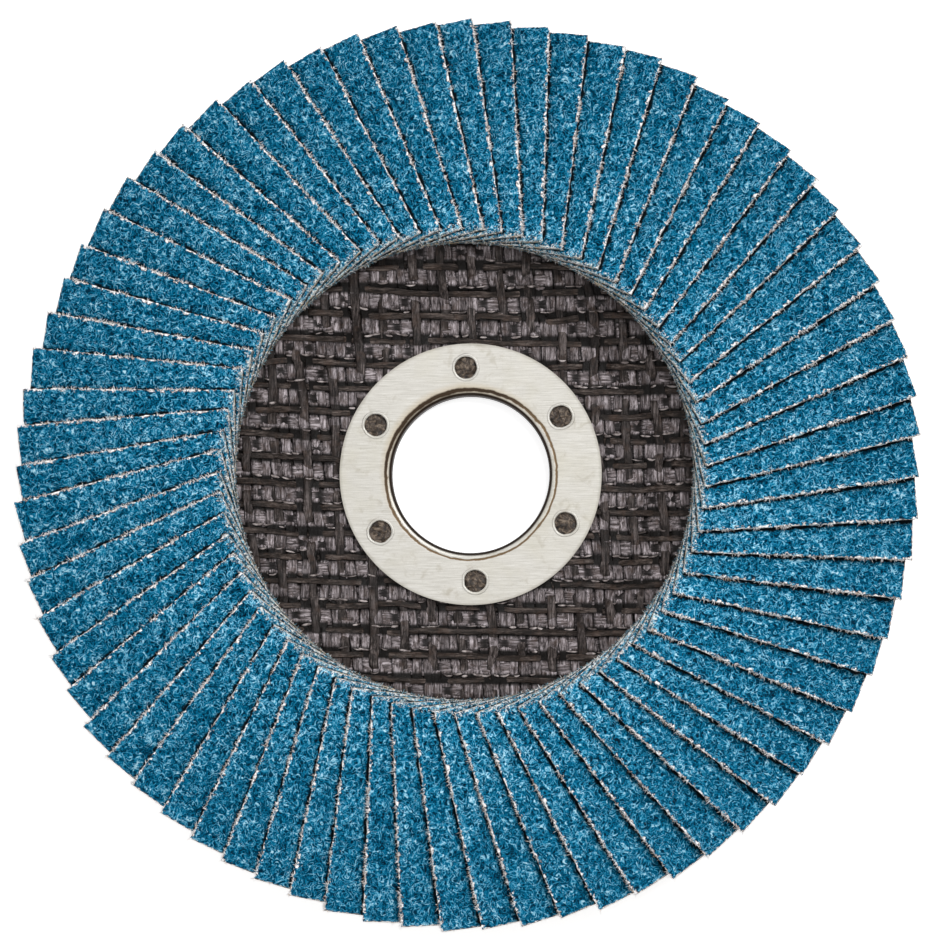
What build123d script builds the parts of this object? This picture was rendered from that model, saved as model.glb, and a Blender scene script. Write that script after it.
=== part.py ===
from build123d import *
import math
import os
import random

# A 125 mm flap disc, lying on the back of its hub with the abrasive flaps up.
# +Z is up, the origin is on the bore's axis in the plane of the back mounting face,
# and every angle round the disc is in degrees clockwise from +Y, seen from above.
# Lengths are in millimetres.

# Centre ring, a pressed sheet steel eyelet
BORE_DIAMETER = 22.23
RING_SHEET = 0.6
RING_FLANGE_DIAMETER = 37.0
RING_CURL_WIDTH = 2.4
RING_LIP_RADIUS = 0.8
RING_BEVEL = 0.4
RING_HOLE_COUNT = 6
RING_HOLE_DIAMETER = 3.2
RING_HOLE_TURN = -2.5
RING_TO_PLATE_CLEARANCE = 0.1

# Backing plate, a dished laminate of woven glass cloth
PLATE_THICKNESS = 2.6
HUB_DIAMETER = 49.0
DISH_DEPTH = 4.0
DISH_WALL_WIDTH = 5.5
PLATE_EDGE_CHAMFER = 0.5

# Open weave on the front of the hub: weft tapes run across, warp tapes up and down
WEFT_PITCH = 3.44
WEFT_TAPE_WIDTH = 1.35
WEFT_SHIFT = -1.69
WEFT_TURN = -1.0
WARP_PITCH = 4.15
WARP_TAPE_WIDTH = 1.35
WARP_SHIFT = 1.79
WARP_TURN = 3.5
WEAVE_DEPTH = 0.35
WEAVE_OUTER_DIAMETER = 63.0
WEAVE_MARGIN = 0.25

# Adhesive bead between the plate's rim and the flaps
BEAD_TO_DISH = 4.0
BEAD_TO_PLATE_EDGE = 1.5
BEAD_THICKNESS = 1.3
BEAD_FLOOR = 0.3

# Abrasive cloth flaps
FLAP_COUNT = 72
FLAPS_PER_NODE = 2
FLAP_WIDTH = 17.1
FLAP_THICKNESS = 0.8
FLAP_GAP = 0.03
FLAP_TIP_RADIUS = 63.45
FLAP_OVERHANG = 6.0
FLAP_INNER_DISTANCE = 32.0
FLAP_EDGE_OFFSET = 11.0
FIRST_FLAP_TURN = -8.3

# The flaps are laid by hand, so their places drift a little round the disc
TIP_DRIFT = 0.5
TIP_DRIFT_TURN = 208.0
TIP_OVALNESS = 0.5
TIP_OVALNESS_TURN = 20.0
INNER_DRIFT = 0.72
INNER_DRIFT_TURN = 274.0
OFFSET_DRIFT = 1.49
OFFSET_DRIFT_TURN = 189.0
TURN_DRIFT = 0.7
TURN_DRIFT_TURN = 97.0
TURN_OVALNESS = 0.7
TURN_OVALNESS_TURN = -23.0
LENGTH_SCATTER = 0.25
OFFSET_SCATTER = 0.08
TURN_SCATTER = 0.2
SCATTER_SEED = 7

# Sizes that follow from those above
bore_radius = BORE_DIAMETER / 2
tube_outer_radius = bore_radius + RING_SHEET
curl_radius = tube_outer_radius + RING_CURL_WIDTH
plate_hole_radius = tube_outer_radius + RING_TO_PLATE_CLEARANCE
curl_seat_radius = curl_radius + RING_TO_PLATE_CLEARANCE
flange_radius = RING_FLANGE_DIAMETER / 2
flange_top = PLATE_THICKNESS + RING_SHEET
ring_hole_circle_radius = (tube_outer_radius + flange_radius) / 2
hub_radius = HUB_DIAMETER / 2
rim_start_radius = hub_radius + DISH_WALL_WIDTH
plate_radius = FLAP_TIP_RADIUS - FLAP_OVERHANG
bead_inner_radius = rim_start_radius + BEAD_TO_DISH
bead_outer_radius = plate_radius - BEAD_TO_PLATE_EDGE
rim_top = DISH_DEPTH + PLATE_THICKNESS
flap_foot = rim_top + BEAD_FLOOR
flap_pitch = 360 / FLAP_COUNT


class Flap:
    """The place of one flap, in plan: its turn, its raised edge's offset from the disc's
    centre, and how far out along that edge its inner and outer ends are."""

    def __init__(self, number, scatter):
        nominal_turn = FIRST_FLAP_TURN + number * flap_pitch
        turn_drift = TURN_DRIFT * cos_degrees(nominal_turn - TURN_DRIFT_TURN)
        turn_drift += TURN_OVALNESS * cos_degrees(2 * (nominal_turn - TURN_OVALNESS_TURN))
        self.turn = nominal_turn + turn_drift + scatter.uniform(-TURN_SCATTER, TURN_SCATTER)
        offset_drift = OFFSET_DRIFT * cos_degrees(nominal_turn - OFFSET_DRIFT_TURN)
        offset_scatter = scatter.uniform(-OFFSET_SCATTER, OFFSET_SCATTER)
        self.offset = FLAP_EDGE_OFFSET + offset_drift + offset_scatter
        inner_drift = INNER_DRIFT * cos_degrees(nominal_turn - INNER_DRIFT_TURN)
        self.inner = FLAP_INNER_DISTANCE + inner_drift
        tip_drift = TIP_DRIFT * cos_degrees(nominal_turn - TIP_DRIFT_TURN)
        tip_drift += TIP_OVALNESS * cos_degrees(2 * (nominal_turn - TIP_OVALNESS_TURN))
        tip_scatter = scatter.uniform(-LENGTH_SCATTER, LENGTH_SCATTER)
        tip_radius = FLAP_TIP_RADIUS + tip_drift + tip_scatter
        self.outer = math.sqrt(tip_radius**2 - self.offset**2)

    def across(self):
        """Unit vector from the low edge to the raised edge, in plan."""
        return Vector(cos_degrees(self.turn), -sin_degrees(self.turn))

    def along(self):
        """Unit vector from the inner end to the outer end."""
        return Vector(sin_degrees(self.turn), cos_degrees(self.turn))

    def point(self, across, along):
        """The point in plan at these distances in the flap's own directions."""
        return self.across() * across + self.along() * along

    def underside(self):
        """The plane of the flap's underside, from its low inner corner."""
        low_edge = self.offset - FLAP_WIDTH * math.cos(flap_tilt)
        corner = self.point(low_edge, self.inner) + Vector(0, 0, flap_foot)
        slope = self.across() * math.cos(flap_tilt) + Vector(0, 0, math.sin(flap_tilt))
        return Plane(origin=corner, x_dir=slope, z_dir=slope.cross(self.along()))


def cos_degrees(angle):
    return math.cos(math.radians(angle))


def sin_degrees(angle):
    return math.sin(math.radians(angle))


def spacing(flap, following):
    """The least distance in plan, square to the flaps' edges, between the planes of a flap
    and the one that follows it clockwise. It is least at their low inner corners."""
    drop = following.offset - flap.offset
    corners = []
    for owner in (flap, following):
        corners.append(owner.point(owner.offset - FLAP_WIDTH, owner.inner))
    return drop + min(corner.dot(flap.across() - following.across()) for corner in corners)


scatter = random.Random(SCATTER_SEED)
flaps = [Flap(number, scatter) for number in range(FLAP_COUNT)]

# The flaps lie on each other, so their tilt follows from their thickness and the
# tightest spacing round the disc
tightest = min(spacing(flap, flaps[(number + 1) % FLAP_COUNT]) for number, flap in enumerate(flaps))
flap_tilt = math.asin((FLAP_THICKNESS + FLAP_GAP) / tightest)


def plate_section(bottom, top):
    """A closed section of the dished plate between two heights above its underside,
    from the axis out to the plate's edge."""
    with BuildSketch() as section:
        with BuildLine():
            Polyline(
                (0, bottom),
                (hub_radius, bottom),
                (rim_start_radius, DISH_DEPTH + bottom),
                (plate_radius, DISH_DEPTH + bottom),
                (plate_radius, DISH_DEPTH + top),
                (rim_start_radius, DISH_DEPTH + top),
                (hub_radius, top),
                (0, top),
                close=True,
            )
        make_face()
    return section.sketch


def window_centres():
    """Centres of the weave's windows whose whole outline lies on the open front of the hub."""
    half_width = (WARP_PITCH - WARP_TAPE_WIDTH) / 2
    half_height = (WEFT_PITCH - WEFT_TAPE_WIDTH) / 2
    reach = math.hypot(half_width, half_height) + WEAVE_MARGIN
    least = flange_radius + reach
    most = WEAVE_OUTER_DIAMETER / 2 - reach
    columns = math.ceil(most / WARP_PITCH) + 1
    rows = math.ceil(most / WEFT_PITCH) + 1
    centres = []
    for column in range(-columns, columns + 1):
        for row in range(-rows, rows + 1):
            along_weft = WARP_SHIFT + (column + 0.5) * WARP_PITCH
            along_warp = WEFT_SHIFT + (row + 0.5) * WEFT_PITCH
            x = along_weft * cos_degrees(WEFT_TURN) - along_warp * sin_degrees(WARP_TURN)
            y = along_weft * sin_degrees(WEFT_TURN) + along_warp * cos_degrees(WARP_TURN)
            if least < math.hypot(x, y) < most:
                centres.append((x, y))
    return centres


# Windows of the open weave, as a layer that follows the plate's dished front
with BuildPart() as weave_windows:
    with BuildSketch(Plane.XZ):
        add(plate_section(PLATE_THICKNESS - WEAVE_DEPTH, PLATE_THICKNESS + WEAVE_DEPTH))
    revolve(axis=Axis.Z)
    with BuildSketch():
        with Locations(*window_centres()):
            Rectangle(
                WARP_PITCH - WARP_TAPE_WIDTH,
                WEFT_PITCH - WEFT_TAPE_WIDTH,
                rotation=WEFT_TURN,
            )
    extrude(amount=rim_top + PLATE_THICKNESS, mode=Mode.INTERSECT)

with BuildPart() as backing_plate:
    with BuildSketch(Plane.XZ) as section:
        add(plate_section(0, PLATE_THICKNESS))
        Rectangle(plate_hole_radius, PLATE_THICKNESS, align=Align.MIN, mode=Mode.SUBTRACT)
        Rectangle(curl_seat_radius, RING_SHEET, align=Align.MIN, mode=Mode.SUBTRACT)
        chamfer(section.vertices().group_by(Axis.X)[-1], length=PLATE_EDGE_CHAMFER)
    revolve(axis=Axis.Z)
    add(weave_windows.part, mode=Mode.SUBTRACT)
backing_plate.part.label = "backing_plate"

# The ring's section is its sheet, wrapped round the edge of the plate's hole: a rolled lip
# in front, and a curl at the back whose corner is pressed to a bevel
with BuildPart() as centre_ring:
    with BuildSketch(Plane.XZ):
        with BuildLine():
            FilletPolyline(
                (flange_radius, flange_top),
                (bore_radius, flange_top),
                (bore_radius, RING_BEVEL),
                radius=RING_LIP_RADIUS,
            )
            Polyline(
                (bore_radius, RING_BEVEL),
                (bore_radius + RING_BEVEL, 0),
                (curl_radius, 0),
                (curl_radius, RING_SHEET),
                (tube_outer_radius, RING_SHEET),
                (tube_outer_radius, PLATE_THICKNESS),
                (flange_radius, PLATE_THICKNESS),
                (flange_radius, flange_top),
            )
        make_face()
    revolve(axis=Axis.Z)
    with BuildSketch(Plane.XY.offset(flange_top)):
        with PolarLocations(
            ring_hole_circle_radius, RING_HOLE_COUNT, start_angle=90 - RING_HOLE_TURN
        ):
            Circle(RING_HOLE_DIAMETER / 2)
    extrude(amount=-RING_SHEET, mode=Mode.SUBTRACT)
centre_ring.part.label = "centre_ring"

flap_pairs = []
for first in range(0, FLAP_COUNT, FLAPS_PER_NODE):
    with BuildPart() as flap_pair:
        for flap in flaps[first : first + FLAPS_PER_NODE]:
            with BuildSketch(flap.underside()):
                Rectangle(FLAP_WIDTH, flap.outer - flap.inner, align=(Align.MIN, Align.MIN))
            extrude(amount=FLAP_THICKNESS)
    flap_pair.part.label = f"flap_pair_{first // FLAPS_PER_NODE + 1:02d}"
    flap_pairs.append(flap_pair.part)

# The flaps' low edges are bedded in the adhesive, which is laid in one short run per flap
with BuildPart() as adhesive_bead:
    with BuildSketch(Plane.XY.offset(rim_top)):
        RegularPolygon(bead_outer_radius, FLAP_COUNT)
        RegularPolygon(bead_inner_radius, FLAP_COUNT, mode=Mode.SUBTRACT)
    extrude(amount=BEAD_THICKNESS)
    add(flap_pairs, mode=Mode.SUBTRACT)
adhesive_bead.part.label = "adhesive_bead"

os.makedirs("parts", exist_ok=True)
for piece in [backing_plate.part, centre_ring.part, adhesive_bead.part] + flap_pairs:
    export_step(piece, f"parts/{piece.label}.step")
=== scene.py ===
import math
import random
from dataclasses import dataclass

import bpy
import numpy as np
from mathutils import Matrix, Vector, noise


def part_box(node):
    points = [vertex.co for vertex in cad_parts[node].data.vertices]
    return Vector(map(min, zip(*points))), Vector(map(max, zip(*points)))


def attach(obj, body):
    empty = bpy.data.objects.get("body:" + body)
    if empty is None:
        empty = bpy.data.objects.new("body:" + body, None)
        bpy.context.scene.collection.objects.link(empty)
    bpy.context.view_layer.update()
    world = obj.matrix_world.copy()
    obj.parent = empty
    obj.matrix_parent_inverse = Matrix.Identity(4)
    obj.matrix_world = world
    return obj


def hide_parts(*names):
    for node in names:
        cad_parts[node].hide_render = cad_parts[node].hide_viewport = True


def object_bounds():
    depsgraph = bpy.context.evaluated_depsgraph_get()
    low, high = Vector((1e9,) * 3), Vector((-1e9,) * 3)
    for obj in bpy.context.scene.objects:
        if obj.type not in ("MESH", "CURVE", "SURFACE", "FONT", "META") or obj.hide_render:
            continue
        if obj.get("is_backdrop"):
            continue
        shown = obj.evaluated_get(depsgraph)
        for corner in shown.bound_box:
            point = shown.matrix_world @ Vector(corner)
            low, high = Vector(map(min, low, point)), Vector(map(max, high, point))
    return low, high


# The flap disc's looks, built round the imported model. Lengths named here are in millimetres
# and turns in degrees unless a comment says otherwise, and meshes are made in metres.

MM = 0.001

# The dished plate, as in the solids
PLATE_THICKNESS = 2.6
DISH_DEPTH = 4.0
HUB_RADIUS = 24.5
RIM_START_RADIUS = 30.0
PLATE_HOLE_RADIUS = 11.9
CURL_SEAT_RADIUS = 14.3
CURL_SEAT_DEPTH = 0.62
PLATE_EDGE_RADIUS = 0.5

# Open weave of the hub's front, as in the solids
WEFT_PITCH = 3.44
WEFT_SHIFT = -1.69
WEFT_TURN = -1.0
WARP_PITCH = 4.15
WARP_SHIFT = 1.79
WARP_TURN = 3.5
WEAVE_INNER_RADIUS = 12.3
WEAVE_OUTER_RADIUS = 34.2

# The centre ring, as in the solids
RING_RADIUS = 18.5
RING_TOP = 3.2
RING_GROOVE_RADIUS = 12.15
RING_TUBE_EDGE_RADIUS = 11.55
RING_HOLE_COUNT = 6
RING_HOLE_RADIUS = 1.6
RING_HOLE_CIRCLE_RADIUS = 15.1
RING_HOLE_TURN = -2.5

# Detail of a flap's mesh
FLAP_COARSE_COLUMNS = 2
FLAP_MIDDLE_COLUMNS = 3
FLAP_FINE_COLUMNS = 20
FLAP_FINE_WIDTH = 6.0
FLAP_MIDDLE_WIDTH = 8.0
FLAP_ROWS = 92
UNDERCUT = 0.3
UNDERSIDE_LIFT = 0.02
GRAIN_DEPTH = 0.10
RAGGEDNESS = 0.13
WORN_WIDTH = 0.35
WORN_DEPTH = 0.12

# How much narrower the wear and the painted shade by the gap are along a flap's ends than along its side
WEAR_END_FACTOR = 3.0
SHADE_END_FACTOR = 3.5

# Threads frayed out of the flaps' edges
INNER_END_THREADS = 60
OUTER_END_THREADS = 12
THREAD_PIECES = 4
EDGE_THREAD_LENGTHS = (0.3, 0.75)
END_THREAD_LENGTHS = (0.15, 0.55)
THREAD_RADII = (0.03, 0.055)
THREAD_CURL = 0.35
THREAD_DYE = 0.85

# How sharply the tapes of the cloth turn up and down, and how far a loose one drops
SWING_SHARPNESS = 2.4
DROP_DEPTH = 0.45

SEED = 11

# Light from the surround, and the floor with its own glow where it is seen
WORLD_LIGHT = 0.55
FLOOR_GLOW = 0.6
FLOOR_REACH = 6000
FLOOR_DROP = 0.02

# The camera looks down on the disc from far off, a little from below right of its axis
CAMERA_DISTANCE = 700.0
CAMERA_LEAN_RIGHT = 1.6
CAMERA_LEAN_DOWN = 4.0
CAMERA_AIM = (-0.15, 0.0)
CAMERA_AIM_HEIGHT = 3.2
LENS = 188.4


# ---- meshes

def make_object(name, points, faces, materials, face_materials=None, smooth=True):
    """A mesh object from points in millimetres."""
    mesh = bpy.data.meshes.new(name)
    mesh.from_pydata((np.asarray(points, float) * MM).tolist(), [], faces)
    for material in materials:
        mesh.materials.append(material)
    if face_materials is not None:
        mesh.polygons.foreach_set("material_index", np.asarray(face_materials, np.int32))
    mesh.polygons.foreach_set("use_smooth", [smooth] * len(mesh.polygons))
    mesh.update()
    piece = bpy.data.objects.new(name, mesh)
    bpy.context.scene.collection.objects.link(piece)
    return piece


def add_attribute(piece, name, values):
    attribute = piece.data.attributes.new(name, "FLOAT", "POINT")
    attribute.data.foreach_set("value", np.asarray(values, np.float32))


class MeshParts:
    """Gathers the points and faces of many small forms into one mesh."""

    def __init__(self):
        self.points = []
        self.faces = []
        self.face_materials = []
        self.attributes = {}

    def add(self, points, faces, material=0, **attributes):
        start = len(self.points)
        self.points.extend(points)
        self.faces.extend([tuple(start + i for i in face) for face in faces])
        if isinstance(material, int):
            material = [material] * len(faces)
        self.face_materials.extend(material)
        for name, values in attributes.items():
            self.attributes.setdefault(name, []).extend(values)

    def build(self, name, materials):
        piece = make_object(name, self.points, self.faces, materials, self.face_materials)
        for attribute, values in self.attributes.items():
            add_attribute(piece, attribute, values)
        return piece


def lathe(profile, segments):
    """Points and faces of a closed profile of (radius, height) turned round the Z axis."""
    count = len(profile)
    points = []
    for k in range(segments):
        turn = 2 * math.pi * k / segments
        points.extend((r * math.cos(turn), r * math.sin(turn), z) for r, z in profile)
    faces = []
    for k in range(segments):
        here = k * count
        there = (k + 1) % segments * count
        for i in range(count):
            j = (i + 1) % count
            faces.append((here + i, there + i, there + j, here + j))
    return points, faces


def sweep(sections):
    """Points and faces of a closed bar through equal closed sections, with both ends capped."""
    count = len(sections[0])
    points = [point for section in sections for point in section]
    faces = []
    for k in range(len(sections) - 1):
        for i in range(count):
            j = (i + 1) % count
            faces.append((k * count + i, (k + 1) * count + i, (k + 1) * count + j, k * count + j))
    faces.append(tuple(range(count)))
    last = (len(sections) - 1) * count
    faces.append(tuple(range(last + count - 1, last - 1, -1)))
    return points, faces


# ---- materials

def srgb(red, green, blue):
    """A linear colour with alpha from 8-bit sRGB values."""
    def linear(value):
        value /= 255
        return value / 12.92 if value <= 0.04045 else ((value + 0.055) / 1.055) ** 2.4
    return (linear(red), linear(green), linear(blue), 1.0)


class Shader:
    """A node material, with short names for the nodes that this script uses."""

    def __init__(self, name, roughness=0.5, metallic=0.0, specular=0.5):
        self.material = bpy.data.materials.new(name)
        self.material.use_nodes = True
        self.tree = self.material.node_tree
        self.tree.nodes.clear()
        self.surface = self.tree.nodes.new("ShaderNodeBsdfPrincipled")
        self.surface.inputs["Roughness"].default_value = roughness
        self.surface.inputs["Metallic"].default_value = metallic
        self.surface.inputs["Specular IOR Level"].default_value = specular
        self.output = self.tree.nodes.new("ShaderNodeOutputMaterial")
        self.link(self.surface.outputs["BSDF"], self.output.inputs["Surface"])

    def link(self, source, target):
        self.tree.links.new(source, target)

    def node(self, kind, **settings):
        node = self.tree.nodes.new(kind)
        for name, value in settings.items():
            setattr(node, name, value)
        return node

    def feed(self, node, name, value):
        """Links a socket to an output, or sets it to a colour in 8-bit sRGB or to a number."""
        if isinstance(value, bpy.types.NodeSocket):
            self.link(value, node.inputs[name])
        elif isinstance(value, tuple):
            node.inputs[name].default_value = srgb(*value)
        else:
            node.inputs[name].default_value = value

    def place(self, scale=(1, 1, 1)):
        """The surface point in millimetres, stretched by scale."""
        coordinates = self.node("ShaderNodeTexCoord")
        mapping = self.node("ShaderNodeMapping")
        mapping.inputs["Scale"].default_value = [s / MM for s in scale]
        self.link(coordinates.outputs["Object"], mapping.inputs["Vector"])
        return mapping.outputs["Vector"]

    def noise(self, vector, scale, detail=2.0, roughness=0.5, distortion=0.0):
        node = self.node("ShaderNodeTexNoise")
        self.feed(node, "Vector", vector)
        node.inputs["Scale"].default_value = scale
        node.inputs["Detail"].default_value = detail
        node.inputs["Roughness"].default_value = roughness
        node.inputs["Distortion"].default_value = distortion
        return node.outputs["Fac"]

    def ramp(self, value, stops):
        """A colour that runs through the stops, each a position and a colour."""
        node = self.node("ShaderNodeValToRGB")
        elements = node.color_ramp.elements
        while len(elements) < len(stops):
            elements.new(0.5)
        for element, (position, colour) in zip(elements, stops):
            element.position = position
            element.color = srgb(*colour)
        self.link(value, node.inputs["Fac"])
        return node.outputs["Color"]

    def spread(self, value, low, high, to_low=0.0, to_high=1.0):
        """Maps a value from one range to another, and clamps it there."""
        node = self.node("ShaderNodeMapRange")
        self.feed(node, "Value", value)
        node.inputs["From Min"].default_value = low
        node.inputs["From Max"].default_value = high
        node.inputs["To Min"].default_value = to_low
        node.inputs["To Max"].default_value = to_high
        return node.outputs["Result"]

    def math(self, operation, first, second):
        node = self.node("ShaderNodeMath", operation=operation)
        for index, value in enumerate((first, second)):
            self.feed(node, index, value)
        return node.outputs["Value"]

    def times(self, first, second):
        return self.math("MULTIPLY", first, second)

    def plus(self, first, second):
        return self.math("ADD", first, second)

    def mix(self, amount, first, second):
        node = self.node("ShaderNodeMix", data_type="RGBA")
        for index, value in ((0, amount), (6, first), (7, second)):
            self.feed(node, index, value)
        return node.outputs[2]

    def attribute(self, name):
        return self.node("ShaderNodeAttribute", attribute_name=name).outputs["Fac"]

    def axes(self, vector):
        """The outputs X, Y and Z of a vector."""
        split = self.node("ShaderNodeSeparateXYZ")
        self.link(vector, split.inputs["Vector"])
        return split.outputs

    def bump(self, height, distance, strength):
        """A normal for relief of a height, with its distance in millimetres."""
        node = self.node("ShaderNodeBump")
        node.inputs["Strength"].default_value = strength
        node.inputs["Distance"].default_value = distance * MM
        self.link(height, node.inputs["Height"])
        return node.outputs["Normal"]

    def finish(self, colour, normal=None, roughness=None):
        self.link(colour, self.surface.inputs["Base Color"])
        if normal is not None:
            self.link(normal, self.surface.inputs["Normal"])
        if roughness is not None:
            self.link(roughness, self.surface.inputs["Roughness"])
        return self.material


def grain_material():
    """Blue zirconia grain under its size coat, worn to bare cloth at the raised edge, with painted
    shade in the gap under the edge of the flap above."""
    shader = Shader("zirconia_grain", roughness=0.65, specular=0.03)
    place = shader.place()
    patches = shader.noise(place, 0.5, detail=2.0, roughness=0.55, distortion=0.3)
    lumps = shader.noise(place, 1.2, detail=2.0, roughness=0.6, distortion=0.8)
    curls = worm_lines(shader, place, 0.85, 1.6, 0.085)
    small_curls = worm_lines(shader, place, 1.7, 1.0, 0.10)
    veins = shader.math("MAXIMUM", curls, shader.times(small_curls, 0.75))
    tone = shader.plus(shader.times(veins, 0.66), shader.times(lumps, 0.85))
    tone = shader.plus(tone, shader.times(patches, 0.3))
    blue = shader.ramp(shader.spread(tone, 0.46, 1.32), [
        (0.0, (0, 22, 36)),
        (0.2, (0, 54, 78)),
        (0.4, (0, 84, 118)),
        (0.6, (0, 110, 148)),
        (0.77, (66, 160, 196)),
        (1.0, (190, 230, 244)),
    ])
    outward = shader.spread(plan_radius(shader, place), 36.0, 60.0, 0.0, 0.22)
    blue = shader.mix(outward, blue, (0, 52, 78))
    edge = shader.attribute("from_edge")
    ragged = shader.noise(place, 1.3, detail=3.0, roughness=0.75, distortion=0.4)
    bare_width = shader.spread(ragged, 0.38, 0.64, -0.3, 0.55)
    bare = shader.math("LESS_THAN", edge, bare_width)
    resin = shader.math("LESS_THAN", edge, shader.plus(bare_width, 0.09))
    threads = shader.noise(place, 2.4, detail=3.0, roughness=0.7)
    cloth = shader.ramp(threads, [
        (0.36, (66, 56, 50)), (0.46, (212, 206, 204)), (0.55, (255, 254, 253)),
    ])
    fuzz = shader.noise(place, 2.2, detail=2.0, roughness=0.7, distortion=1.6)
    fuzz_level = shader.spread(shader.attribute("from_end"), 0.0, 1.8, 0.47, 0.75)
    fuzzy = shader.math("GREATER_THAN", fuzz, fuzz_level)
    frayed = shader.ramp(threads, [
        (0.4, (20, 70, 84)), (0.47, (170, 190, 190)), (0.56, (250, 246, 240)),
    ])
    blue = shader.mix(shader.times(fuzzy, 0.85), blue, frayed)
    colour = shader.mix(resin, blue, (70, 66, 62))
    colour = shader.mix(bare, colour, cloth)
    # Painted shade: a dark band of ragged width on the grain just past the raised edge of the flap above.
    cover = shader.attribute("from_cover")
    painted_shade_width = shader.spread(shader.noise(place, 0.8, detail=3.0, roughness=0.7), 0.36, 0.64, 0.12, 0.75)
    painted_gap_shade = shader.math("SUBTRACT", 1.0, shader.math("DIVIDE", cover, painted_shade_width))
    painted_gap_shade = shader.spread(painted_gap_shade, 0.0, 0.45)
    colour = shader.mix(painted_gap_shade, colour, (14, 22, 26))
    height = shader.plus(lumps, shader.times(veins, 0.35))
    normal = shader.bump(height, 0.14, 0.8)
    rough = shader.spread(lumps, 0.3, 0.7, 0.5, 0.75)
    return shader.finish(colour, normal, rough)


def worm_lines(shader, place, scale, distortion, width):
    """Thin curling lines where a noise crosses its middle value."""
    value = shader.noise(place, scale, detail=1.0, roughness=0.5, distortion=distortion)
    distance = shader.math("ABSOLUTE", shader.math("SUBTRACT", value, 0.5), 0.0)
    return shader.spread(distance, width, 0.0)


def underside_material():
    """The flaps' tan cloth, seen from behind."""
    shader = Shader("flap_underside", roughness=0.85, specular=0.1)
    place = shader.place()
    threads = shader.noise(place, 3.0, detail=2.0, roughness=0.6)
    stains = shader.noise(place, 0.3, detail=3.0, roughness=0.6)
    colour = shader.ramp(threads, [
        (0.3, (122, 104, 84)), (0.5, (158, 140, 118)), (0.7, (186, 172, 150)),
    ])
    colour = shader.mix(shader.spread(stains, 0.45, 0.7, 0.0, 0.5), colour, (112, 96, 80))
    return shader.finish(colour, shader.bump(threads, 0.08, 0.7))


def cloth_material():
    """The flaps' cut cloth and its resin, stained teal and cream at their inner ends."""
    shader = Shader("flap_cloth", roughness=0.85, specular=0.2)
    place = shader.place()
    fibres = shader.noise(place, 2.6, detail=3.0, roughness=0.7)
    stains = shader.noise(place, 0.9, detail=2.0, roughness=0.5)
    colour = shader.ramp(fibres, [
        (0.34, (60, 50, 44)), (0.47, (184, 176, 170)), (0.58, (250, 247, 244)),
    ])
    colour = shader.mix(shader.spread(stains, 0.48, 0.68, 0.0, 0.75), colour, (44, 46, 46))
    patches = shader.noise(place, 1.3, detail=2.0, roughness=0.6, distortion=0.6)
    soaked = shader.spread(patches, 0.44, 0.54, 0.0, 0.85)
    at_end = shader.math("LESS_THAN", shader.attribute("from_end"), 0.3)
    yellowed = shader.noise(place, 0.8, detail=2.0, roughness=0.6, distortion=0.3)
    cream = shader.spread(yellowed, 0.46, 0.56, 0.0, 0.7)
    colour = shader.mix(shader.times(cream, at_end), colour, (218, 194, 152))
    colour = shader.mix(shader.times(soaked, at_end), colour, (10, 78, 100))
    normal = shader.bump(fibres, 0.12, 0.8)
    return shader.finish(colour, normal)


def strand_material():
    """Loose glass strands with a thin coat of resin."""
    shader = Shader("glass_strand", roughness=0.45, specular=0.5)
    tone = shader.noise(shader.place(), 0.8, detail=2.0, roughness=0.6)
    colour = shader.ramp(tone, [
        (0.36, (50, 41, 38)), (0.5, (110, 100, 98)), (0.62, (176, 166, 164)),
    ])
    return shader.finish(colour)


def thread_material():
    """Frayed polyester-cotton threads, some soaked in the grain's coloured resin."""
    shader = Shader("frayed_thread", roughness=0.8, specular=0.2)
    place = shader.place()
    tone = shader.noise(place, 1.2, detail=2.0, roughness=0.6)
    colour = shader.ramp(tone, [
        (0.34, (200, 172, 148)), (0.44, (240, 236, 234)), (0.58, (255, 254, 254)),
    ])
    dyed = shader.ramp(tone, [
        (0.34, (8, 70, 96)), (0.5, (30, 128, 158)), (0.62, (120, 190, 204)),
    ])
    return shader.finish(shader.mix(shader.attribute("dye"), colour, dyed))


def tape_material(name, dark, middle, light, along_x, contrast):
    """Resin-soaked glass tape with fibres along its length, with painted shade towards its edges and in
    its dips.
    """
    shader = Shader(name, roughness=0.5, specular=0.15)
    stretch = (0.4, 3.6, 1.0) if along_x else (3.6, 0.4, 1.0)
    fibres = shader.noise(shader.place(stretch), 1.0, detail=3.0, roughness=0.7, distortion=0.4)
    place = shader.place()
    patches = shader.noise(place, 0.7, detail=3.0, roughness=0.6, distortion=0.3)
    blots = shader.noise(place, 1.5, detail=3.0, roughness=0.7, distortion=1.0)
    colour = shader.ramp(fibres, [
        (0.5 - contrast, dark), (0.5, middle), (0.5 + contrast, light),
    ])
    tone = shader.spread(shader.attribute("tone"), 0.1, 1.2, 0.0, 0.5)
    colour = shader.mix(tone, colour, dark)
    colour = shader.mix(shader.spread(patches, 0.5, 0.68, 0.0, 0.5), colour, (78, 63, 55))
    colour = shader.mix(shader.spread(blots, 0.54, 0.66, 0.0, 0.7), colour, (24, 19, 17))
    # Painted shade: darker at the tape's edges and where it dips under other tapes, from the shade
    # attribute.
    shade = shader.spread(shader.attribute("shade"), 0.12, 0.72, 1.0, 0.0)
    colour = shader.mix(shade, colour, (14, 11, 10))
    normal = shader.bump(shader.plus(fibres, blots), 0.16, 0.9)
    rough = shader.spread(patches, 0.35, 0.65, 0.38, 0.62)
    return shader.finish(colour, normal, rough)


def resin_material():
    """Dark cured resin of the plate's body."""
    shader = Shader("cured_resin", roughness=0.55, specular=0.4)
    place = shader.place()
    mottle = shader.noise(place, 0.8, detail=4.0, roughness=0.6)
    pits = shader.noise(place, 4.0, detail=2.0, roughness=0.6)
    colour = shader.ramp(mottle, [
        (0.35, (24, 21, 19)), (0.55, (42, 37, 34)), (0.7, (62, 56, 52)),
    ])
    normal = shader.bump(pits, 0.1, 0.6)
    return shader.finish(colour, normal)


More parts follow.
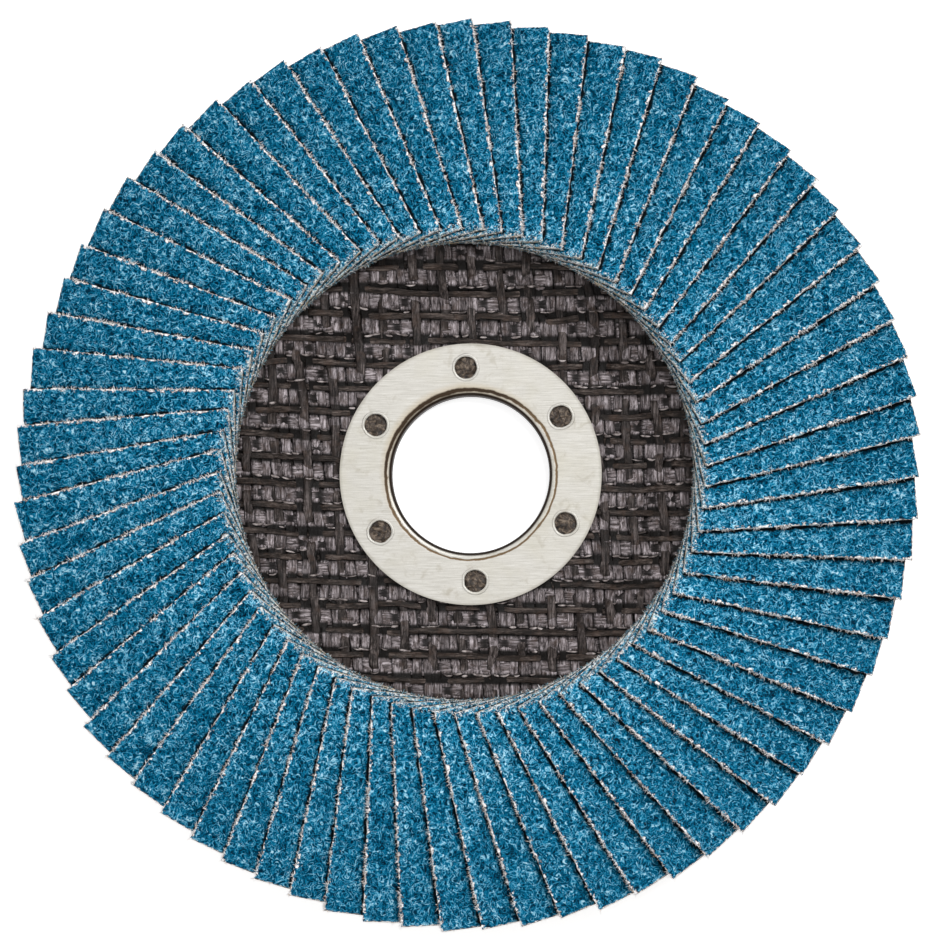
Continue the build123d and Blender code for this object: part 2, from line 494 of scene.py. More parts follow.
def adhesive_material():
    """Brown cured adhesive under the flaps."""
    shader = Shader("cured_adhesive", roughness=0.35, specular=0.5)
    place = shader.place()
    mottle = shader.noise(place, 0.6, detail=3.0, roughness=0.6)
    colour = shader.ramp(mottle, [(0.35, (48, 38, 30)), (0.6, (86, 70, 54))])
    normal = shader.bump(shader.noise(place, 1.5, detail=2.0), 0.15, 0.6)
    return shader.finish(colour, normal)


def steel_material():
    """Zinc-plated sheet steel: fine straight brushed lines, a groove round the rolled lip with brown dirt
    and painted shade that is darkest at its upper left, painted shade along the outer edge, and a tube
    painted dark as shade."""
    shader = Shader("brushed_steel", roughness=0.42, metallic=0.4, specular=0.5)
    place = shader.place()
    lines = shader.noise(shader.place((0.3, 9.0, 9.0)), 1.0, detail=4.0, roughness=0.75)
    grit = shader.noise(place, 5.0, detail=2.0, roughness=0.7)
    stain = shader.noise(place, 0.14, detail=3.0, roughness=0.6)
    smudge = shader.noise(place, 0.5, detail=3.0, roughness=0.65, distortion=0.5)
    colour = shader.ramp(lines, [
        (0.3, (170, 167, 159)), (0.5, (190, 187, 180)), (0.68, (206, 204, 198)),
    ])
    colour = shader.mix(shader.spread(stain, 0.5, 0.72, 0.0, 0.35), colour, (180, 175, 156))
    colour = shader.mix(shader.spread(smudge, 0.58, 0.76, 0.0, 0.5), colour, (150, 142, 124))
    colour = shader.mix(shader.spread(grit, 0.6, 0.72, 0.0, 0.5), colour, (160, 152, 138))
    radius = plan_radius(shader, place)
    wavy = shader.plus(radius, shader.times(shader.math("SUBTRACT", smudge, 0.5), 0.5))
    # The groove is brown dirt and painted shade: towards the upper left its band moves inward, widens and
    # darkens into painted shade.
    lean = upper_left(shader, place)
    inward = shader.plus(wavy, shader.spread(lean, 0.0, 1.0, 0.0, 0.27))
    groove = shader.math("ABSOLUTE", shader.math("SUBTRACT", inward, RING_GROOVE_RADIUS), 0.0)
    groove = shader.times(groove, shader.math("SUBTRACT", 1.0, shader.times(lean, 0.4)))
    dirt_and_shade_colour = shader.ramp(lean, [(0.0, (104, 84, 60)), (0.6, (46, 32, 20))])
    groove_dirt_and_shade = shader.spread(groove, 0.26, 0.13, 0.0, 0.97)
    # Painted shade: a tan band that widens the groove's shade towards the upper left.
    upper_left_shade_band = shader.times(shader.spread(groove, 0.75, 0.2, 0.0, 0.5), shader.spread(lean, -0.2, 0.8))
    colour = shader.mix(upper_left_shade_band, colour, (168, 148, 112))
    colour = shader.mix(groove_dirt_and_shade, colour, dirt_and_shade_colour)
    # Painted shade: a darker band along the ring's outer edge.
    painted_rim_shade = shader.spread(wavy, RING_RADIUS - 0.45, RING_RADIUS - 0.05, 0.0, 0.5)
    colour = shader.mix(painted_rim_shade, colour, (136, 130, 118))
    # Painted shade: the bore's tube inside the rolled lip is painted dark brown, and is less specular like
    # the groove.
    painted_tube_shade = shader.spread(radius, RING_TUBE_EDGE_RADIUS + 0.1, RING_TUBE_EDGE_RADIUS - 0.1)
    colour = shader.mix(painted_tube_shade, colour, (40, 30, 22))
    dull = shader.spread(shader.math("MAXIMUM", groove_dirt_and_shade, painted_tube_shade), 0.0, 1.0, 0.5, 0.06)
    shader.feed(shader.surface, "Specular IOR Level", dull)
    height = shader.plus(lines, shader.times(shader.spread(groove, 0.3, 0.0), -1.5))
    normal = shader.bump(height, 0.03, 0.6)
    rough = shader.spread(lines, 0.3, 0.7, 0.36, 0.52)
    return shader.finish(colour, normal, rough)


def upper_left(shader, place):
    """From -1 at the lower right of the bore's edge to 1 at its upper left."""
    axes = shader.axes(place)
    across = shader.times(axes["X"], -0.5 / RING_GROOVE_RADIUS)
    up = shader.times(axes["Y"], 0.86 / RING_GROOVE_RADIUS)
    return shader.plus(across, up)


def plan_radius(shader, place):
    """Distance from the disc's axis in millimetres."""
    axes = shader.axes(place)
    squares = [shader.times(axes[name], axes[name]) for name in "XY"]
    return shader.math("POWER", shader.plus(*squares), 0.5)


def keyed_resin_material():
    """Dark lumps of resin and cloth that show in the ring's holes."""
    shader = Shader("keyed_resin", roughness=0.5, specular=0.4)
    place = shader.place()
    lumps = shader.noise(place, 1.4, detail=3.0, roughness=0.65, distortion=0.8)
    colour = shader.ramp(lumps, [
        (0.36, (24, 18, 14)), (0.5, (62, 50, 40)), (0.64, (120, 106, 92)),
    ])
    return shader.finish(colour, shader.bump(lumps, 0.25, 0.9))


def floor_material():
    """A pale floor that shows white to the camera and keeps the object's shadow."""
    shader = Shader("floor", roughness=0.9, specular=0.1)
    shader.surface.inputs["Base Color"].default_value = (0.86, 0.86, 0.86, 1)
    glow = shader.node("ShaderNodeEmission")
    shader.link(shader.times(seen_directly(shader.tree), FLOOR_GLOW), glow.inputs["Strength"])
    both = shader.node("ShaderNodeAddShader")
    shader.link(shader.surface.outputs["BSDF"], both.inputs[0])
    shader.link(glow.outputs["Emission"], both.inputs[1])
    shader.link(both.outputs["Shader"], shader.output.inputs["Surface"])
    return shader.material


def seen_directly(tree):
    """1 for what the camera sees, also by way of metal or glass, and 0 for light."""
    path = tree.nodes.new("ShaderNodeLightPath")
    seen = path.outputs["Is Camera Ray"]
    for kind in ("Is Glossy Ray", "Is Transmission Ray"):
        larger = tree.nodes.new("ShaderNodeMath")
        larger.operation = "MAXIMUM"
        tree.links.new(seen, larger.inputs[0])
        tree.links.new(path.outputs[kind], larger.inputs[1])
        seen = larger.outputs["Value"]
    return seen


# ---- flaps

class FlapFrame:
    """One flap's place, from the eight corners of its solid: its low inner corner, its
    directions across, along and out of the cloth, and its size."""

    def __init__(self, corners):
        centre = corners.mean(0)
        _, vectors = np.linalg.eigh(np.cov((corners - centre).T))
        self.out = vectors[:, 0] * np.sign(vectors[2, 0])
        self.along = vectors[:, 2] * np.sign(vectors[:, 2] @ centre)
        self.across = np.cross(self.along, self.out)
        local = (corners - centre) @ np.array([self.across, self.along, self.out]).T
        low = local.min(0)
        self.width, self.length, self.thickness = local.max(0) - low
        self.corner = centre + low @ np.array([self.across, self.along, self.out])

    def point(self, across, along, out):
        return self.corner + self.across * across + self.along * along + self.out * out

    def turn(self):
        """The clockwise turn of the flap's length from +Y, in radians."""
        return math.atan2(self.along[0], self.along[1])


def flap_frames(node):
    """The frames of the separate flaps in one CAD node."""
    mesh = node.data
    points = np.array([vertex.co[:] for vertex in mesh.vertices]) / MM
    unique, index = np.unique(np.round(points, 3), axis=0, return_inverse=True)
    index = index.reshape(-1)
    group = list(range(len(unique)))

    def root(i):
        while group[i] != i:
            i = group[i]
        return i

    for polygon in mesh.polygons:
        corners = [root(index[i]) for i in polygon.vertices]
        for corner in corners[1:]:
            group[corner] = corners[0]
    islands = {}
    for i in range(len(unique)):
        islands.setdefault(root(i), []).append(unique[i])
    return [FlapFrame(np.array(corners)) for corners in islands.values()]


def flap_columns(width):
    """Distances across a flap, coarse where the next flap hides it and fine at its raised edge."""
    fine_start = width - FLAP_FINE_WIDTH
    middle_start = fine_start - FLAP_MIDDLE_WIDTH
    coarse = np.linspace(0, middle_start, FLAP_COARSE_COLUMNS, endpoint=False)
    middle = np.linspace(middle_start, fine_start, FLAP_MIDDLE_COLUMNS, endpoint=False)
    fine = np.linspace(fine_start, width, FLAP_FINE_COLUMNS + 1)
    return np.concatenate([coarse, middle, fine])


def beyond_cover(point, cover):
    """How far a point lies outside the outline of the flap above it in plan, with distances
    past its end counted for more."""
    corner = cover.point(cover.width, 0, cover.thickness)
    offset = point[:2] - corner[:2]
    past_edge = offset[0] * cover.along[1] - offset[1] * cover.along[0]
    past_end = -float(offset @ cover.along[:2])
    return max(float(past_edge), SHADE_END_FACTOR * past_end)


def add_flap(parts, flap, cover):
    """A flap's grained face, its cloth underside and its ragged cut edges."""
    columns = flap_columns(flap.width)
    rows = np.linspace(0, flap.length, FLAP_ROWS + 1)
    at_rim = 0.01
    far = 5
    points = []
    from_edge = []
    from_end = []
    from_cover = []
    for t in rows:
        for s in columns:
            at = flap.point(s, t, flap.thickness)
            seed = Vector(at)
            bump = noise.noise(seed * 1.1) * 0.6 + noise.noise(seed * 2.9) * 0.4
            to_side = flap.width - s
            to_end = min(t, flap.length - t)
            near = min(to_side, WEAR_END_FACTOR * to_end)
            worn = max(0.0, 1 - near / WORN_WIDTH)
            sag = GRAIN_DEPTH * (0.5 - 0.9 * bump) + WORN_DEPTH * worn
            s_shift = 0.0
            t_shift = 0.0
            if to_side < at_rim:
                s_shift = -RAGGEDNESS * (0.8 + noise.noise(seed * 1.7) + 0.8 * noise.noise(seed * 4.3))
            if to_end < at_rim:
                inward = 1 if t < at_rim else -1
                t_shift = inward * RAGGEDNESS * (0.8 + noise.noise(seed * 1.9))
            points.append(flap.point(s + s_shift, t + t_shift, flap.thickness - sag))
            from_edge.append(near)
            from_end.append(t)
            from_cover.append(beyond_cover(points[-1], cover))
    width_count = len(columns)
    faces = []
    materials = []
    for j in range(FLAP_ROWS):
        for i in range(width_count - 1):
            a = j * width_count + i
            faces.append((a, a + 1, a + 1 + width_count, a + width_count))
            materials.append(0)
    top_count = len(points)
    under_columns = (0, 0.4, 0.8, 1)
    for t in rows:
        for share in under_columns:
            at = flap.point(share * flap.width, t, 0)
            seed = Vector(at)
            s_shift = 0.0
            if share == 1:
                s_shift = -UNDERCUT * (1 + 0.6 * noise.noise(seed * 2.1))
            points.append(flap.point(share * flap.width + s_shift, t, UNDERSIDE_LIFT))
            from_edge.append(far)
            from_end.append(t)
            from_cover.append(far)
    under = len(under_columns)
    for j in range(FLAP_ROWS):
        for i in range(under - 1):
            a = top_count + j * under + i
            faces.append((a, a + under, a + 1 + under, a + 1))
            materials.append(2)
        top_low = j * width_count
        low = top_count + j * under
        faces.append((low, top_low, top_low + width_count, low + under))
        top_high = top_low + width_count - 1
        high = low + under - 1
        faces.append((top_high, high, high + under, top_high + width_count))
        materials += [1, 1]
    inner = [top_count + i for i in range(under)]
    faces.append(tuple(inner + list(range(width_count - 1, -1, -1))))
    last_top = FLAP_ROWS * width_count
    last_under = top_count + FLAP_ROWS * under
    outer = [last_under + i for i in range(under - 1, -1, -1)]
    faces.append(tuple(outer + [last_top + i for i in range(width_count)]))
    materials += [1, 1]
    points = [tuple(point) for point in points]
    parts.add(points, faces, materials, from_edge=from_edge, from_end=from_end, from_cover=from_cover)


def add_fibre(parts, start, direction, length, radius, random_source, dye=0.0):
    """A bent three-sided fibre that runs to a point, dyed by a share from 0 to 1."""
    bend = Vector([random_source.uniform(-1, 1) for _ in range(3)]) * length * THREAD_CURL
    direction = direction.normalized()
    side = direction.orthogonal().normalized()
    other = direction.cross(side)
    points = []
    for share, size in ((0, 1.0), (0.6, 0.85)):
        middle = start + direction * length * share + bend * share * share
        for k in range(3):
            turn = 2 * math.pi * k / 3
            points.append(tuple(middle + (side * math.cos(turn) + other * math.sin(turn)) * radius * size))
    points.append(tuple(start + direction * length + bend))
    faces = [(2, 1, 0)]
    for k in range(3):
        j = (k + 1) % 3
        faces += [(k, j, j + 3, k + 3), (k + 3, j + 3, 6)]
    parts.add(points, faces, dye=[dye] * len(points))


def add_fray(parts, flap, random_source):
    """Threads that stand out of a flap's raised edge and its two ends, in tufts."""
    along = Vector(flap.along)
    across = Vector(flap.across)
    out = Vector(flap.out)
    t = 0.0
    while t < flap.length:
        t += random_source.uniform(0.06, 0.2)
        tuft = noise.noise(Vector(flap.point(flap.width, t, 0)) * 0.45)
        if t > flap.length or random_source.random() > 0.4 + 1.4 * tuft:
            continue
        for _ in range(random_source.choice((1, 2, 3))):
            depth = random_source.uniform(0.25, 0.95) * flap.thickness
            start = Vector(flap.point(flap.width - 0.3, t + random_source.uniform(-0.1, 0.1), depth))
            lean = random_source.uniform(-1.6, 1.6)
            direction = across + along * lean + out * random_source.uniform(-0.3, 0.35)
            add_fibre(parts, start, direction, random_source.uniform(*EDGE_THREAD_LENGTHS),
                      random_source.uniform(*THREAD_RADII), random_source)
    for number in range(INNER_END_THREADS + OUTER_END_THREADS):
        if number < INNER_END_THREADS:
            s, t, sign = random_source.uniform(0, flap.width), 0.15, -1
        else:
            s, t, sign = flap.width - random_source.uniform(0, 6), flap.length - 0.2, 1
        start = Vector(flap.point(s, t, random_source.uniform(0.2, 0.95) * flap.thickness))
        direction = along * sign + across * random_source.uniform(-1.4, 1.4)
        dyed = sign < 0 and number % 5 > 1
        add_fibre(parts, start, direction, random_source.uniform(*END_THREAD_LENGTHS),
                  random_source.uniform(*THREAD_RADII), random_source, THREAD_DYE * dyed)


def make_flaps(frame):
    """A detailed piece for each CAD node of flaps, and the threads frayed out of them."""
    random_source = random.Random(SEED)
    grain = grain_material()
    cloth = cloth_material()
    underside = underside_material()
    thread = thread_material()
    threads = [MeshParts() for _ in range(THREAD_PIECES)]
    names = sorted(name for name in frame["nodes"] if name.startswith("flap_pair_"))
    flaps = {name: flap_frames(frame["nodes"][name]) for name in names}
    in_turn = sorted((flap for pair in flaps.values() for flap in pair), key=FlapFrame.turn)
    for name in names:
        parts = MeshParts()
        for flap in flaps[name]:
            add_flap(parts, flap, in_turn[in_turn.index(flap) - 1])
            add_fray(threads[names.index(name) * THREAD_PIECES // len(names)], flap, random_source)
        piece = parts.build(name.replace("flap_pair", "abrasive_flaps"), [grain, cloth, underside])
        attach(piece, "root")
        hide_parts(name)
    low, high = (np.array(corner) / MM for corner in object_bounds())
    for number, parts in enumerate(threads, 1):
        parts.points = np.clip(parts.points, low, high).tolist()
        piece = parts.build(f"frayed_threads_{number}", [thread])
        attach(piece, "root")


# ---- woven plate

def dish_height(radius):
    """How far the plate's surface has risen from the hub's at this radius."""
    share = (radius - HUB_RADIUS) / (RIM_START_RADIUS - HUB_RADIUS)
    return DISH_DEPTH * min(1.0, max(0.0, share))


def weave_point(weft, warp):
    """The place in plan of a point in the weave's own directions."""
    weft_turn, warp_turn = math.radians(WEFT_TURN), math.radians(WARP_TURN)
    x = weft * math.cos(weft_turn) - warp * math.sin(warp_turn)
    y = weft * math.sin(weft_turn) + warp * math.cos(warp_turn)
    return x, y


@dataclass
class TapeSet:
    """One direction of tapes in a cloth. A tape's wave runs half a turn in each wave pitch,
    and its crests take the light by wave_shade. Those that alternate run against their
    neighbours, and a share of the crests drops."""

    runs_along_weft: bool
    pitch: float
    shift: float
    width: float
    thickness: float
    level: float
    wave: float
    wave_pitch: float
    wave_shift: float
    step: float
    wander: float
    wave_shade: float
    alternates: bool = True
    drop_share: float = 0.0

    def section(self, number, travel, half_width, seed, underside):
        """A closed section across the tape, lying on the dished plate."""
        centre = self.shift + number * self.pitch
        centre += self.wander * noise.noise(Vector((travel * 0.12, number * 7.3, seed)))
        width = half_width * (1 + 0.2 * noise.noise(Vector((travel * 0.5, number * 3.1, seed + 9))))
        width *= 1 + 0.12 * noise.noise(Vector((travel * 2.3, number * 4.7, seed + 5)))
        flip = -1 if self.alternates and number % 2 else 1
        phase = math.pi * (travel - self.wave_shift) / self.wave_pitch
        swing = math.tanh(SWING_SHARPNESS * math.cos(phase)) / math.tanh(SWING_SHARPNESS)
        chance = self.chance(number, travel, seed)
        centre += 0.25 * self.wander * (chance - 0.5)
        lift = self.wave * flip * swing
        if chance < self.drop_share:
            lift -= DROP_DEPTH * max(0.0, swing)
        lift += 0.05 * noise.noise(Vector((travel * 0.7, number * 5.7, seed + 4)))
        tilt = 0.06 * noise.noise(Vector((travel * 0.3, number * 2.9, seed + 2)))
        ring = []
        shades = []
        tones = []
        crest = 1 - self.wave_shade * (1 - flip * swing * math.copysign(1, self.wave)) / 2
        for share, height in self.outline():
            shades.append(crest * (1 - abs(share) ** 7))
            tones.append(chance)
            across = centre + width * share
            plan = (travel, across) if self.runs_along_weft else (across, travel)
            x, y = weave_point(*plan)
            level = self.level + lift + tilt * share + height
            if underside:
                z = dish_height(math.hypot(x, y)) - level
            else:
                z = PLATE_THICKNESS + dish_height(math.hypot(x, y)) + level
            ring.append((x, y, z))
        if self.runs_along_weft != underside:
            ring.reverse()
            shades.reverse()
        return ring, shades, tones

    def chance(self, number, travel, seed):
        """A number from 0 to 1 that stays the same from one dip of the tape to the next."""
        window = math.floor((travel - self.wave_shift) / (2 * self.wave_pitch) + 0.5)
        return noise.cell(Vector((number * 3 + 0.5, window * 5 + 0.5, seed * 7 + 0.5)))

    def outline(self):
        """The tape's section, as shares of its half width and heights over its level."""
        return (
            (-1.0, -self.thickness * 0.6),
            (-0.93, -self.thickness * 0.2),
            (-0.72, -self.thickness * 0.03),
            (0.0, self.thickness * 0.1),
            (0.72, -self.thickness * 0.03),
            (0.93, -self.thickness * 0.2),
            (1.0, -self.thickness * 0.6),
            (0.0, -self.thickness),
        )

    def weave(self, parts, inner, outer, seed, random_source, underside=False):
        """Adds every tape of the set, in runs that lie between the two radii."""
        reach = math.ceil(outer / self.pitch) + 1
        steps = math.ceil(outer / self.step)
        for number in range(-reach, reach + 1):
            half_width = self.width / 2 * random_source.uniform(0.94, 1.06)
            tone = random_source.uniform(-0.3, 0.3)
            run = []
            for k in range(-steps, steps + 1):
                section = self.section(number, k * self.step, half_width, seed, underside)
                radii = [math.hypot(x, y) for x, y, z in section[0]]
                if inner < min(radii) and max(radii) < outer:
                    run.append(section)
                else:
                    self.close(parts, run, tone)
                    run = []
            self.close(parts, run, tone)

    def close(self, parts, run, tone):
        """Adds the tape through a run of sections, if the run has any length."""
        if len(run) > 1:
            points, faces = sweep([ring for ring, shades, tones in run])
            whole_tone = [value + tone for ring, shades, tones in run for value in tones]
            shade = [value for ring, shades, tones in run for value in shades]
            parts.add(points, faces, tone=whole_tone, shade=shade)


def make_weave():
    """The open cloth on the hub's front and the close cloth that shows in its windows."""
    close_pitch = WARP_PITCH / 3
    close_shift = WARP_SHIFT + 0.1
    window_centre = WEFT_SHIFT + WEFT_PITCH / 2
    open_weft = TapeSet(
        runs_along_weft=True, pitch=WEFT_PITCH, shift=WEFT_SHIFT, width=0.9, thickness=0.24,
        level=-0.12, wave=0.08, wave_pitch=WARP_PITCH, wave_shift=WARP_SHIFT, step=0.4,
        wander=0.6, wave_shade=0.5,
    )
    open_warp = TapeSet(
        runs_along_weft=False, pitch=WARP_PITCH, shift=WARP_SHIFT, width=1.3, thickness=0.24,
        level=-0.14, wave=-0.1, wave_pitch=WEFT_PITCH, wave_shift=WEFT_SHIFT, step=0.4,
        wander=0.7, wave_shade=0.6,
    )
    close_warp = TapeSet(
        runs_along_weft=False, pitch=close_pitch, shift=close_shift, width=1.36, thickness=0.22,
        level=-0.22, wave=0.15, wave_pitch=WEFT_PITCH / 2, wave_shift=window_centre + 0.15,
        step=0.215, wander=0.7, wave_shade=0.95, alternates=False, drop_share=0.16,
    )
    close_weft = TapeSet(
        runs_along_weft=True, pitch=WEFT_PITCH, shift=window_centre, width=2.3, thickness=0.2,
        level=-0.42, wave=-0.06, wave_pitch=close_pitch, wave_shift=close_shift, step=0.34,
        wander=0.4, wave_shade=0.85,
    )
    random_source = random.Random(SEED + 1)
    brown = ((18, 14, 12), (54, 46, 42), (108, 97, 92))
    slate = ((20, 16, 15), (62, 55, 53), (112, 103, 101))
    grey = ((26, 21, 21), (120, 111, 112), (204, 194, 198))
    layers = (
        ("open_weft", open_weft, tape_material("open_weft_tape", *brown, True, contrast=0.17), 1),
        ("open_warp", open_warp, tape_material("open_warp_tape", *slate, False, contrast=0.15), 2),
        ("close_warp", close_warp, tape_material("close_warp_tape", *grey, False, contrast=0.17), 3),
        ("close_weft", close_weft, tape_material("close_weft_tape", *grey, True, contrast=0.17), 4),
    )
    pieces = []
    for name, tapes, material, seed in layers:
        parts = MeshParts()
        tapes.weave(parts, WEAVE_INNER_RADIUS, WEAVE_OUTER_RADIUS, seed, random_source)
        pieces.append(parts.build(name, [material]))
    pieces.append(make_strands(random_source))
    return pieces


def make_strands(random_source):
    """Light strands that bow out from under the close tapes, on the side of each open weft tape."""
    parts = MeshParts()
    pitch = WARP_PITCH / 3
    rows = math.ceil(WEAVE_OUTER_RADIUS / WEFT_PITCH)
    columns = math.ceil(WEAVE_OUTER_RADIUS / pitch)
    for row in range(-rows, rows + 1):
        for column in range(-columns, columns + 1):
            if random_source.random() > 0.5:
                continue
            weft = WARP_SHIFT + column * pitch + random_source.uniform(-0.35, 0.35)
            warp = WEFT_SHIFT + row * WEFT_PITCH + random_source.uniform(0.5, 0.85)
            x, y = weave_point(weft, warp)
            radius = math.hypot(x, y)
            if RING_RADIUS < radius < WEAVE_OUTER_RADIUS - 2.5:
                z = PLATE_THICKNESS + dish_height(radius) - random_source.uniform(0.12, 0.22)
                add_lens(parts, (x, y, z), random_source.uniform(0.8, 1.7),
                         random_source.uniform(0.08, 0.2), random_source.uniform(-0.02, 0.16),
                         random_source.uniform(-0.15, 0.15))
    return parts.build("loose_strands", [strand_material()])


def add_lens(parts, middle, length, radius, bow, slope):
    """A short strand along X, thick in its middle and bowed to one side."""
    sections = []
    for share in (-1.0, -0.7, -0.35, 0.0, 0.35, 0.7, 1.0):
        size = radius * (0.15 + 0.85 * math.sqrt(1 - share * share))
        x = middle[0] + share * length / 2
        y = middle[1] + bow * share * share + slope * share
        z = middle[2] + dish_height(math.hypot(x, y)) - dish_height(math.hypot(middle[0], middle[1]))
        sections.append([
            (x, y + size * math.cos(turn), z + 0.7 * size * math.sin(turn))
            for turn in (math.pi * k / 3 for k in range(6))
        ])
    points, faces = sweep(sections)
    parts.add(points, faces)


def make_plate():
    """The plate's resin body with its woven front and back."""
    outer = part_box("backing_plate")[1].x / MM
    floor_drop = 0.85
    floor_end = 34.0
    edge_bevel = 0.15
    lip_width = 1.2
    lip_drop = 0.02
    rim_top = DISH_DEPTH + PLATE_THICKNESS
    back = 0.27
    profile = [
        (PLATE_HOLE_RADIUS, CURL_SEAT_DEPTH),
        (CURL_SEAT_RADIUS, CURL_SEAT_DEPTH),
        (CURL_SEAT_RADIUS, back),
        (CURL_SEAT_RADIUS + 0.3, back),
        (HUB_RADIUS, back),
        (RIM_START_RADIUS, DISH_DEPTH + back),
        (outer - PLATE_EDGE_RADIUS, DISH_DEPTH + back),
        (outer - edge_bevel, DISH_DEPTH + back + edge_bevel),
        (outer, DISH_DEPTH + back + PLATE_EDGE_RADIUS),
        (outer, rim_top - PLATE_EDGE_RADIUS),
        (outer - edge_bevel, rim_top - edge_bevel),
        (outer - PLATE_EDGE_RADIUS, rim_top),
        (floor_end + 0.5, rim_top),
        (floor_end, rim_top - floor_drop),
        (RIM_START_RADIUS, rim_top - floor_drop),
        (HUB_RADIUS, PLATE_THICKNESS - floor_drop),
        (PLATE_HOLE_RADIUS + lip_width + 0.3, PLATE_THICKNESS - floor_drop),
        (PLATE_HOLE_RADIUS + lip_width, PLATE_THICKNESS - lip_drop),
        (PLATE_HOLE_RADIUS, PLATE_THICKNESS - lip_drop),
    ]
    points, faces = lathe(profile, 160)
    body = make_object("plate_body", points, faces, [resin_material()], smooth=False)
    random_source = random.Random(SEED + 2)
    parts = MeshParts()
    weft_shift = 0.4
    warp_shift = 0.9
    shared = dict(width=1.9, thickness=0.2, level=-0.12, step=1.2, wander=0.5, wave_shade=0.0)
    weft = TapeSet(runs_along_weft=True, pitch=WEFT_PITCH, shift=weft_shift, wave=0.05,
                   wave_pitch=WARP_PITCH, wave_shift=warp_shift, **shared)
    warp = TapeSet(runs_along_weft=False, pitch=WARP_PITCH, shift=warp_shift, wave=-0.05,
                   wave_pitch=WEFT_PITCH, wave_shift=weft_shift, **shared)
    for tapes, seed in ((weft, 5), (warp, 6)):
        tapes.weave(parts, CURL_SEAT_RADIUS + 0.2, outer - 0.8, seed, random_source, underside=True)
    charcoal = ((30, 27, 26), (62, 57, 54), (100, 94, 91))
    back_tape = tape_material("back_tape", *charcoal, True, contrast=0.2)
    back_cloth = parts.build("back_weave", [back_tape])
    for piece in [body, back_cloth] + make_weave():
        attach(piece, "root")
        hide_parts("backing_plate")


# ---- ring and bead

def hole_centres():
    for number in range(RING_HOLE_COUNT):
        turn = math.radians(RING_HOLE_TURN + 360 / RING_HOLE_COUNT * number)
        yield RING_HOLE_CIRCLE_RADIUS * math.sin(turn), RING_HOLE_CIRCLE_RADIUS * math.cos(turn)


def make_hole_burrs(material):
    """The raised, slightly ragged lips of the punched holes in the ring's flange."""
    parts = MeshParts()
    segments = 48
    for number, (x, y) in enumerate(hole_centres()):
        sections = []
        for k in range(segments + 1):
            turn = 2 * math.pi * (k % segments) / segments
            way = Vector((math.cos(turn), math.sin(turn), number * 3.0))
            ragged = 0.12 * noise.noise(way * 1.3) + 0.05 * noise.noise(way * 4.0)
            inner = RING_HOLE_RADIUS - 0.01 + ragged
            profile = (
                (inner, -0.35),
                (inner - 0.02, -0.02),
                (inner + 0.08, 0.06),
                (inner + 0.25, 0.07),
                (inner + 0.42, -0.02),
                (inner + 0.35, -0.3),
            )
            sections.append([
                (x + r * way.x, y + r * way.y, RING_TOP + z) for r, z in reversed(profile)
            ])
        points, faces = sweep(sections)
        without_caps = faces[:-2]
        parts.add(points, without_caps)
    return parts.build("hole_burrs", [material])


def make_keyed_resin():
    """Lumps of resin and cloth, pressed up into the ring's holes."""
    parts = MeshParts()
    rings, segments = 14, 44
    for x, y in hole_centres():
        points = [(x, y, RING_TOP - 0.35)]
        for j in range(1, rings + 1):
            radius = (RING_HOLE_RADIUS + 0.15) * j / rings
            for k in range(segments):
                turn = 2 * math.pi * k / segments
                px, py = x + radius * math.cos(turn), y + radius * math.sin(turn)
                lump = noise.noise(Vector((px * 1.2, py * 1.2, 0)))
                lump += 0.5 * noise.noise(Vector((px * 3, py * 3, 5)))
                points.append((px, py, RING_TOP - 0.42 + 0.3 * lump - 0.15 * (j / rings) ** 3))
        faces = [(0, 1 + k, 1 + (k + 1) % segments) for k in range(segments)]
        for j in range(rings - 1):
            for k in range(segments):
                a = 1 + j * segments + k
                b = 1 + j * segments + (k + 1) % segments
                faces.append((a, a + segments, b + segments, b))
        parts.add(points, faces)
    return parts.build("keyed_resin", [keyed_resin_material()])


def make_ring_details(steel):
    for piece, slot in ((make_hole_burrs(steel), "ring_steel"), (make_keyed_resin(), "backing")):
        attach(piece, "root")


def dress_cad_nodes(frame, steel):
    """Gives the nodes that stay their finish."""
    for name, material in (("centre_ring", steel), ("adhesive_bead", adhesive_material())):
        mesh = frame["nodes"][name].data
        mesh.materials.clear()
        mesh.materials.append(material)


# ---- stage

def make_stage():
    """Floor, lights and camera."""
    corners = ((-1, -1), (1, -1), (1, 1), (-1, 1))
    points = [(x * FLOOR_REACH, y * FLOOR_REACH, -FLOOR_DROP) for x, y in corners]
    floor = make_object("floor", points, [(0, 1, 2, 3)], [floor_material()], smooth=False)
    floor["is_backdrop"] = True

    bpy.context.scene.world = studio_world()

    add_light("key", turn=42, elevation=58, distance=1.3, size=0.45, power=11.0)
    add_light("fill", turn=235, elevation=50, distance=1.5, size=0.9, power=3.5)

    camera_data = bpy.data.cameras.new("camera")
    camera_data.lens = LENS
    camera = bpy.data.objects.new("camera", camera_data)
    bpy.context.scene.collection.objects.link(camera)
    bpy.context.scene.camera = camera
    aim = Vector((CAMERA_AIM[0], CAMERA_AIM[1], CAMERA_AIM_HEIGHT)) * MM
    lean_right = math.radians(CAMERA_LEAN_RIGHT)
    lean_down = math.radians(CAMERA_LEAN_DOWN)
    direction = Vector((math.tan(lean_right), -math.tan(lean_down), 1)).normalized()
    camera.matrix_world = look(aim + direction * CAMERA_DISTANCE * MM, direction)


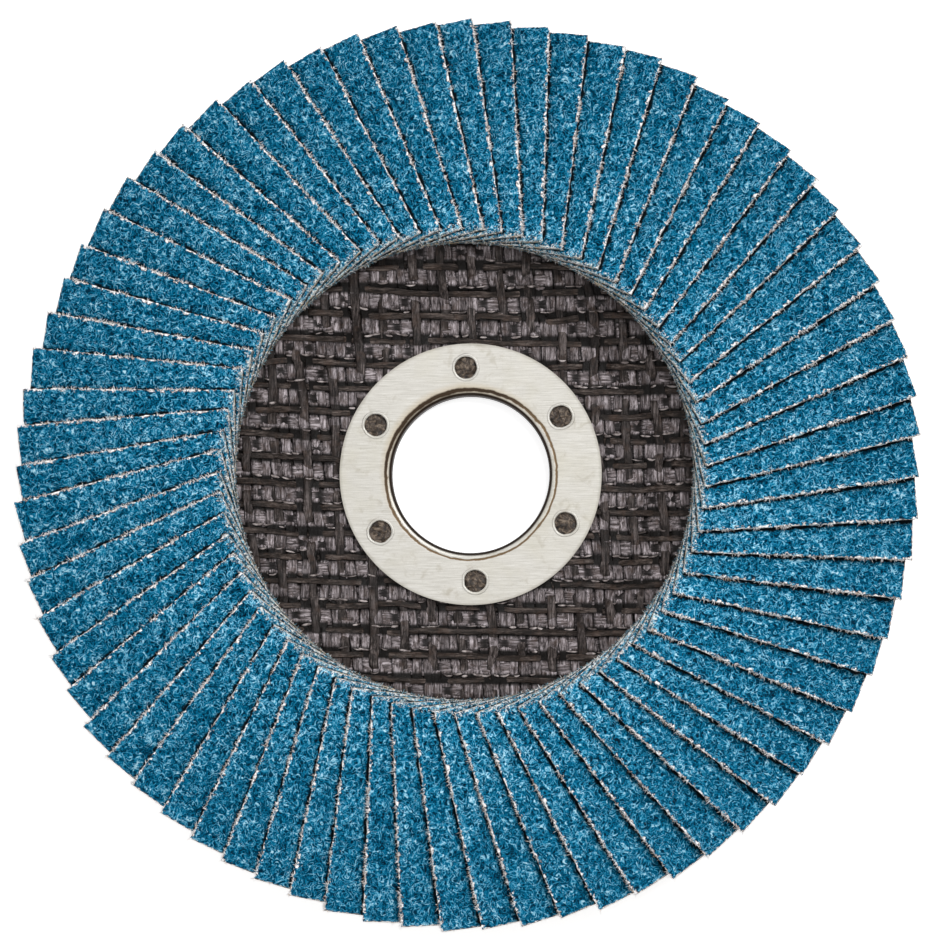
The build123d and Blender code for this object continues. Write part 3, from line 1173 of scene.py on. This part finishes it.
def studio_world():
    """An even pale surround that lights the disc softly and shows white."""
    world = bpy.data.worlds.new("studio")
    world.use_nodes = True
    tree = world.node_tree
    background = tree.nodes["Background"]
    background.inputs["Color"].default_value = (1, 1, 1, 1)
    strength = tree.nodes.new("ShaderNodeMath")
    strength.operation = "MULTIPLY_ADD"
    tree.links.new(seen_directly(tree), strength.inputs[0])
    strength.inputs[1].default_value = 1 - WORLD_LIGHT
    strength.inputs[2].default_value = WORLD_LIGHT
    tree.links.new(strength.outputs["Value"], background.inputs["Strength"])
    return world


def look(place, backwards):
    """A camera's matrix at a place, with +Y up in its picture as far as it can be."""
    right = Vector((0, 1, 0)).cross(backwards).normalized()
    up = backwards.cross(right)
    matrix = Matrix((right, up, backwards)).transposed().to_4x4()
    matrix.translation = place
    return matrix


def add_light(name, turn, elevation, distance, size, power):
    """A square area light that faces the disc, from a turn clockwise from +Y. Its distance
    and size are in metres."""
    data = bpy.data.lights.new(name, "AREA")
    data.shape = "SQUARE"
    data.size = size
    data.energy = power
    light = bpy.data.objects.new(name, data)
    bpy.context.scene.collection.objects.link(light)
    level = math.cos(math.radians(elevation))
    direction = Vector((
        math.sin(math.radians(turn)) * level,
        math.cos(math.radians(turn)) * level,
        math.sin(math.radians(elevation)),
    ))
    light.location = direction * distance
    light.rotation_mode = "QUATERNION"
    light.rotation_quaternion = direction.to_track_quat("Z", "Y")


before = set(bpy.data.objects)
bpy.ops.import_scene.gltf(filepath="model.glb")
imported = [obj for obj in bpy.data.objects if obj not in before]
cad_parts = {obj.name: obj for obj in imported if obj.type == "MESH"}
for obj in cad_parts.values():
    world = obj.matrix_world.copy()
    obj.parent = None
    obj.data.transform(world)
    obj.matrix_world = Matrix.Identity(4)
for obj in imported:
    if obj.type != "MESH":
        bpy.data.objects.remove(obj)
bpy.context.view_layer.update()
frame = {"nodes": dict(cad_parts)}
bpy.context.scene.view_settings.view_transform = "Standard"
make_flaps(frame)
make_plate()
steel = steel_material()
dress_cad_nodes(frame, steel)
make_ring_details(steel)
make_stage()
